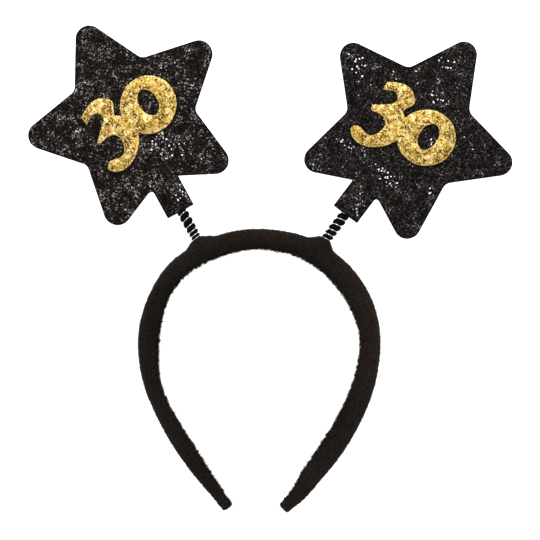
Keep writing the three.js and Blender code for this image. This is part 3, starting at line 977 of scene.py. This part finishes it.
def carrier_of(piece, name, keep):
    """A copy of those faces of the piece that keep says."""
    bm = bmesh.new()
    bm.from_mesh(piece.data)
    drop = [face for face in bm.faces if not keep(face)]
    bmesh.ops.delete(bm, geom=drop, context="FACES")
    mesh = bpy.data.meshes.new(name)
    bm.to_mesh(mesh)
    bm.free()
    carrier = bpy.data.objects.new(name, mesh)
    bpy.context.collection.objects.link(carrier)
    return carrier


# Materials


def surface(name, sockets):
    """A material whose shader has plain values on its own sockets, and its tree and shader."""
    material = bpy.data.materials.new(name)
    material.use_nodes = True
    tree = material.node_tree
    shader = tree.nodes["Principled BSDF"]
    for key, value in sockets.items():
        shader.inputs[key].default_value = value
    return material, tree, shader


def ramp(tree, factor, stops, steps=False):
    made = node(tree, "ShaderNodeValToRGB", {"Fac": factor})
    band = made.color_ramp
    band.interpolation = "CONSTANT" if steps else "LINEAR"
    while len(band.elements) < len(stops):
        band.elements.new(0.5)
    for element, (place, colour) in zip(band.elements, stops):
        element.position = place
        element.color = (*colour, 1)
    return made.outputs["Color"]


def object_noise(tree, scale, detail=2.0):
    where = node(tree, "ShaderNodeTexCoord").outputs["Object"]
    return node(tree, "ShaderNodeTexNoise", {"Vector": where, "Scale": scale, "Detail": detail})


def bumped(tree, shader, height, distance, strength=1.0):
    bump = node(
        tree, "ShaderNodeBump", {"Height": height, "Distance": distance * MM, "Strength": strength}
    )
    tree.links.new(bump.outputs["Normal"], shader.inputs["Normal"])


def felt_material(name, lit_boost=1.0):
    """Black felt: a dark cloth whose wool runs from reddish to greenish black in soft patches, with painted
    shade in the low spots of its fluff and broad patches of painted light.
    """
    material, tree, shader = surface(
        name,
        {"Roughness": 1.0, "Specular IOR Level": 0.03, "Sheen Weight": 0.02, "Sheen Roughness": 0.6},
    )
    cloud = object_noise(tree, 160, 4).outputs["Fac"]
    fluff = object_noise(tree, 1100, 4).outputs["Fac"]
    wools = [
        (0.36, (0.0138, 0.0086, 0.0065)),
        (0.5, (0.0126, 0.0091, 0.007)),
        (0.64, (0.0128, 0.0109, 0.0086)),
    ]
    # Painted light: a boost above 1 makes a brighter copy of the felt for the loose fibres.
    wools = [(place, tuple(lit_boost * value for value in colour)) for place, colour in wools]
    # Painted shade: the fluff's low spots, which the bump below sinks, come out darker and its raised tufts
    # brighter, over the felt's own fibre grain.
    depth = node(
        tree,
        "ShaderNodeMapRange",
        {"Value": fluff, "From Min": 0.3, "From Max": 0.7, "To Min": 0.4, "To Max": 1.6},
    )
    # Painted light: broad random patches that make the felt up to a third brighter.
    light_pool_noise = object_noise(tree, 22, 2).outputs["Fac"]
    light_pools = node(
        tree,
        "ShaderNodeMapRange",
        {"Value": light_pool_noise, "From Min": 0.35, "From Max": 0.65, "To Min": 0.9, "To Max": 1.35},
    )
    both = node(tree, "ShaderNodeMath", {0: depth.outputs[0], 1: light_pools.outputs[0]}, operation="MULTIPLY")
    mixed = node(
        tree,
        "ShaderNodeVectorMath",
        {0: ramp(tree, cloud, wools), "Scale": both.outputs[0]},
        operation="SCALE",
    )
    tree.links.new(mixed.outputs[0], shader.inputs["Base Color"])
    bumped(tree, shader, fluff, 0.3)
    return material


def wire_material():
    material, tree, shader = surface(
        "spring_steel", {"Metallic": 1.0, "Base Color": (0.8, 0.78, 0.75, 1)}
    )
    grain = object_noise(tree, 1200, 3).outputs["Fac"]
    rough = node(tree, "ShaderNodeMapRange", {"Value": grain, "To Min": 0.16, "To Max": 0.36})
    tree.links.new(rough.outputs[0], shader.inputs["Roughness"])
    bumped(tree, shader, grain, 0.01)
    return material


def core_material():
    material, tree, shader = surface("core_cloth", {"Roughness": 0.75, "Specular IOR Level": 0.04})
    weave = object_noise(tree, 2600, 2).outputs["Fac"]
    stops = [(0.35, (0.0008, 0.0006, 0.0005)), (0.7, (0.007, 0.0055, 0.005))]
    tree.links.new(ramp(tree, weave, stops), shader.inputs["Base Color"])
    bumped(tree, shader, weave, 0.15)
    return material


def glitter_cells(tree, scale):
    """Fine glitter that is too small to model: cells, each with a random shade."""
    where = node(tree, "ShaderNodeTexCoord").outputs["Object"]
    return node(tree, "ShaderNodeTexVoronoi", {"Vector": where, "Scale": scale})


def black_sheet_material(name, stops):
    material, tree, shader = surface(name, {"Roughness": 0.6, "Specular IOR Level": 0.03})
    cells = glitter_cells(tree, 1700)
    shade = node(tree, "ShaderNodeSeparateColor", {"Color": cells.outputs["Color"]}).outputs[0]
    tree.links.new(ramp(tree, shade, stops, steps=True), shader.inputs["Base Color"])
    bumped(tree, shader, shade, 0.12)
    return material


def flake_material(name, stops, patchy, cloud_scale, settings, facet_light=0.0):
    """Loose flakes: each has one colour, and patches of the sheet hold more of the bright ones. The
    brightest stops of a ramp are painted glints and highlights, and with facet cells, flakes that lie
    together also share painted light and shade, as on crinkled foil."""
    material, tree, shader = surface(name, settings)
    shade = node(tree, "ShaderNodeAttribute", attribute_name="shade").outputs["Fac"]
    cloud = object_noise(tree, cloud_scale, 3).outputs["Fac"]
    patch = node(tree, "ShaderNodeMapRange", {"Value": cloud, "From Min": 0.37, "From Max": 0.63})
    both = node(tree, "ShaderNodeMix", {"Factor": patchy, "A": shade, "B": patch.outputs[0]})
    # Painted light and shade: facet cells brighten or darken neighbouring flakes together.
    if facet_light:
        cells = glitter_cells(tree, 430)
        facet = node(tree, "ShaderNodeSeparateColor", {"Color": cells.outputs["Color"]}).outputs[0]
        both = node(tree, "ShaderNodeMix", {"Factor": facet_light, "A": both.outputs["Result"], "B": facet})
    tree.links.new(ramp(tree, both.outputs["Result"], stops, steps=True), shader.inputs["Base Color"])
    return material


def gold_sheet_material():
    material, tree, shader = surface(
        "gold_sheet", {"Roughness": 0.4, "Metallic": 0.5, "Specular IOR Level": 0.2}
    )
    cells = glitter_cells(tree, 1900)
    shade = node(tree, "ShaderNodeSeparateColor", {"Color": cells.outputs["Color"]}).outputs[0]
    stops = [(0.0, (0.2, 0.11, 0.01)), (0.4, (0.55, 0.36, 0.08)), (0.85, (0.9, 0.7, 0.3))]
    tree.links.new(ramp(tree, shade, stops), shader.inputs["Base Color"])
    bumped(tree, shader, shade, 0.12)
    return material


def cut_edge_material(name, settings, dark, light):
    """The die-cut edge of the foam, plainer than its glittered face."""
    material, tree, shader = surface(name, settings)
    grain = object_noise(tree, 1500, 3).outputs["Fac"]
    tree.links.new(ramp(tree, grain, [(0.3, dark), (0.7, light)]), shader.inputs["Base Color"])
    bumped(tree, shader, grain, 0.06)
    return material


# Putting the pieces together

felt = felt_material("black_felt")
wire = wire_material()
cloth = core_material()
gold_sheet = gold_sheet_material()
# The gold foam's pale cut edge, and partly a painted highlight along the rounded rim of the figures.
gold_cut_edge = cut_edge_material(
    "gold_cut_edge", {"Roughness": 0.5, "Metallic": 0.2}, (0.5, 0.32, 0.09), (0.95, 0.74, 0.36)
)
black_cut_edge = cut_edge_material(
    "black_cut_edge",
    {"Roughness": 0.9, "Specular IOR Level": 0.1},
    (0.0022, 0.0018, 0.0016),
    (0.011, 0.009, 0.008),
)
dark_sheet = black_sheet_material(
    "black_glitter_sheet",
    [(0.0, (0.003, 0.0025, 0.0022)), (0.6, (0.01, 0.0085, 0.008)), (0.88, (0.03, 0.026, 0.024))],
)
dark_foil = {"Roughness": 0.4, "Metallic": 0.3, "Specular IOR Level": 0.03}
# Painted light: in these ramps the grey stops stand for flakes lit by the lamps and the near-white ones for
# their glints; the darkest stops are the flakes' own black.
dark_flakes = {
    "left": flake_material(
        "black_flakes_greyer",
        [
            (0.0, (0.004, 0.0034, 0.003)),
            (0.28, (0.015, 0.012, 0.011)),
            (0.55, (0.055, 0.045, 0.041)),
            (0.68, (0.235, 0.193, 0.178)),
            (0.95, (0.8, 0.78, 0.76)),
        ],
        0.42,
        170,
        dark_foil,
    ),
    "right": flake_material(
        "black_flakes_darker",
        [
            (0.0, (0.0025, 0.002, 0.002)),
            (0.28, (0.014, 0.0112, 0.0104)),
            (0.56, (0.056, 0.047, 0.044)),
            (0.83, (0.18, 0.17, 0.168)),
            (0.965, (1.0, 1.0, 1.0)),
        ],
        0.36,
        170,
        dark_foil,
    ),
}
# Painted glints: near-white, partly metallic flakes laid in the patches where the glitter sparkles, so that
# they shine white under any light.
bright_flakes = flake_material(
    "bright_flakes",
    [(0.0, (0.3, 0.29, 0.29)), (0.35, (0.75, 0.74, 0.74)), (0.6, (1.0, 1.0, 1.0))],
    0,
    170,
    {"Roughness": 0.3, "Metallic": 0.4},
)
# Painted highlights: the palest stop stands for flakes that catch the light, and the facet cells add shared
# painted light and shade.
gold_flakes = flake_material(
    "gold_flakes",
    [
        (0.0, (0.095, 0.045, 0.0)),
        (0.36, (0.19, 0.1, 0.0)),
        (0.46, (0.33, 0.185, 0.009)),
        (0.55, (0.54, 0.3, 0.03)),
        (0.66, (0.82, 0.51, 0.1)),
        (0.76, (0.98, 0.83, 0.42)),
    ],
    0.3,
    200,
    {"Roughness": 0.42, "Metallic": 0.4, "Specular IOR Level": 0.2},
    facet_light=0.62,
)


def dress(piece, body, material, nodes=()):
    """Gives a piece its material and slot, and says which nodes it replaces and what it rides on."""
    piece.data.materials.clear()
    piece.data.materials.append(material)
    if nodes:
        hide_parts(*nodes)
    if body:
        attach(piece, body)


def is_sparkling(face, bopper):
    """Whether a face of a star's front is in one of its patches of painted glints, where white flakes lie.
    """
    spot = bopper["place"].inverted() @ (face.calc_center_median() / MM)
    return face.normal.z > FRONT_ABOVE and any(
        math.hypot(spot.x - patch["across"], spot.y - patch["up"]) < patch["spread"]
        for patch in bopper["sparkles"]
    )


def faces_inwards(face):
    return inwardness(face.calc_center_median(), face.normal) > INWARDS_ABOVE


headband = make_headband()
dress(headband, "band", felt, ["headband"])

fibre = make_fibre("fibre", FIBRE_RADIUS, FIBRE_LENGTH)
# Painted light: the loose fibres get a copy of the felt 1.3 times brighter, standing in for the light that
# they catch.
fluff = felt_material("felt_fluff", 1.3)
for name, keep in (
    ("headband_nap", lambda face: True),
    ("headband_inner_nap", faces_inwards),
    ("headband_stray_fibres", faces_inwards),
):
    nap = carrier_of(headband, name, keep)
    scatter(nap, fibre, **STREWN[name])
    for vert in nap.data.vertices:
        vert.co.z = max(vert.co.z, 0)
    dress(nap, "band", fluff)

flake = make_flake("flake", FLAKE_RADIUS, FLAKE_THICK)
gold_flake = make_flake("gold_flake", GOLD_FLAKE_RADIUS, GOLD_FLAKE_THICK)
for bopper in BOPPERS:
    side = bopper["side"]
    body = f"{side}_star"
    out = bopper["place"].to_3x3() @ Vector((0, 0, 1))
    coil = make_spring_wire(bopper)
    dress(coil, None, wire, [f"{side}_spring_wire"])
    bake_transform(coil)
    core = make_spring_core(bopper)
    dress(core, None, cloth, [f"{side}_spring_core"])
    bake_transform(core)
    for sheet, face in zip(make_star(bopper), ("front", "back")):
        dress(sheet, body, dark_sheet, [f"{side}_star_{face}"])
        facing = out if face == "front" else -out
        paint_sides(sheet, facing, black_cut_edge)
        name = f"{side}_{face}_flakes"
        flakes = carrier_of(sheet, name, lambda f: f.normal.dot(facing) > FRONT_ABOVE)
        scatter(flakes, flake, **STREWN[name])
        dress(flakes, body, dark_flakes[side])
        if face == "front":
            name = f"{side}_sparkles"
            sparkles = carrier_of(sheet, name, lambda f: is_sparkling(f, bopper))
            sparkles.data.transform(Matrix.Translation(out * FLAKE_PILE * MM))
            scatter(sparkles, flake, **STREWN[name])
            dress(sparkles, body, bright_flakes)
    number = make_number(bopper)
    dress(number, body, gold_sheet, [f"{side}_number"])
    paint_sides(number, out, gold_cut_edge)
    name = f"{side}_number_flakes"
    flakes = carrier_of(number, name, lambda f: f.normal.dot(out) > FRONT_ABOVE)
    scatter(flakes, gold_flake, **STREWN[name])
    dress(flakes, body, gold_flakes)
for item in (fibre, flake, gold_flake):
    bpy.data.objects.remove(item)

# Table, light and camera

# The photograph shows no shadow, and a star that leans back dips below the hoop, so the pale table
# stands clear of both.
TABLE_BELOW = 90
TABLE_SIZE = 6000
TABLE_GLOW = 0.86
ROOM_LIGHT = 0.62
PICTURE_WIDTH = 286.2 * MM
CAMERA_ACROSS = 0.53 * MM
CAMERA_UP = -0.8 * MM
CAMERA_HEIGHT = 1.2
FOCUS_HEIGHT = 5 * MM
CLIP_END = 30
SENSOR = 36.0

bm = bmesh.new()
bmesh.ops.create_grid(bm, x_segments=2, y_segments=2, size=TABLE_SIZE)
floor = finished("table", bm, Matrix.Translation((0, 0, -TABLE_BELOW)))
material, tree, shader = surface(
    "pale_table",
    {
        "Base Color": (0.93, 0.93, 0.93, 1),
        "Roughness": 0.9,
        "Emission Color": (1, 1, 1, 1),
        "Emission Strength": TABLE_GLOW,
    },
)
floor.data.materials.append(material)

world = bpy.data.worlds.new("studio")
world.use_nodes = True
sky = world.node_tree.nodes["Background"]
sky.inputs["Color"].default_value = (1, 1, 1, 1)
sky.inputs["Strength"].default_value = ROOM_LIGHT
bpy.context.scene.world = world


def add_light(name, place, size, power):
    data = bpy.data.lights.new(name, "AREA")
    data.size = size
    data.energy = power
    light = bpy.data.objects.new(name, data)
    light.location = place
    light.rotation_euler = Vector(place).to_track_quat("Z", "Y").to_euler()
    bpy.context.collection.objects.link(light)


add_light("key", (-0.08, 0.88, 1.2), 0.8, 13)
add_light("spark", (0.2, 0.25, 1.4), 0.08, 1.5)

camera_data = bpy.data.cameras.new("camera")
camera_data.sensor_width = SENSOR
camera_data.lens = SENSOR * CAMERA_HEIGHT / PICTURE_WIDTH
camera_data.clip_end = CLIP_END
camera = bpy.data.objects.new("camera", camera_data)
camera.location = (CAMERA_ACROSS, CAMERA_UP, CAMERA_HEIGHT + FOCUS_HEIGHT)
bpy.context.collection.objects.link(camera)
scene = bpy.context.scene
scene.camera = camera
scene.view_settings.view_transform = "Standard"
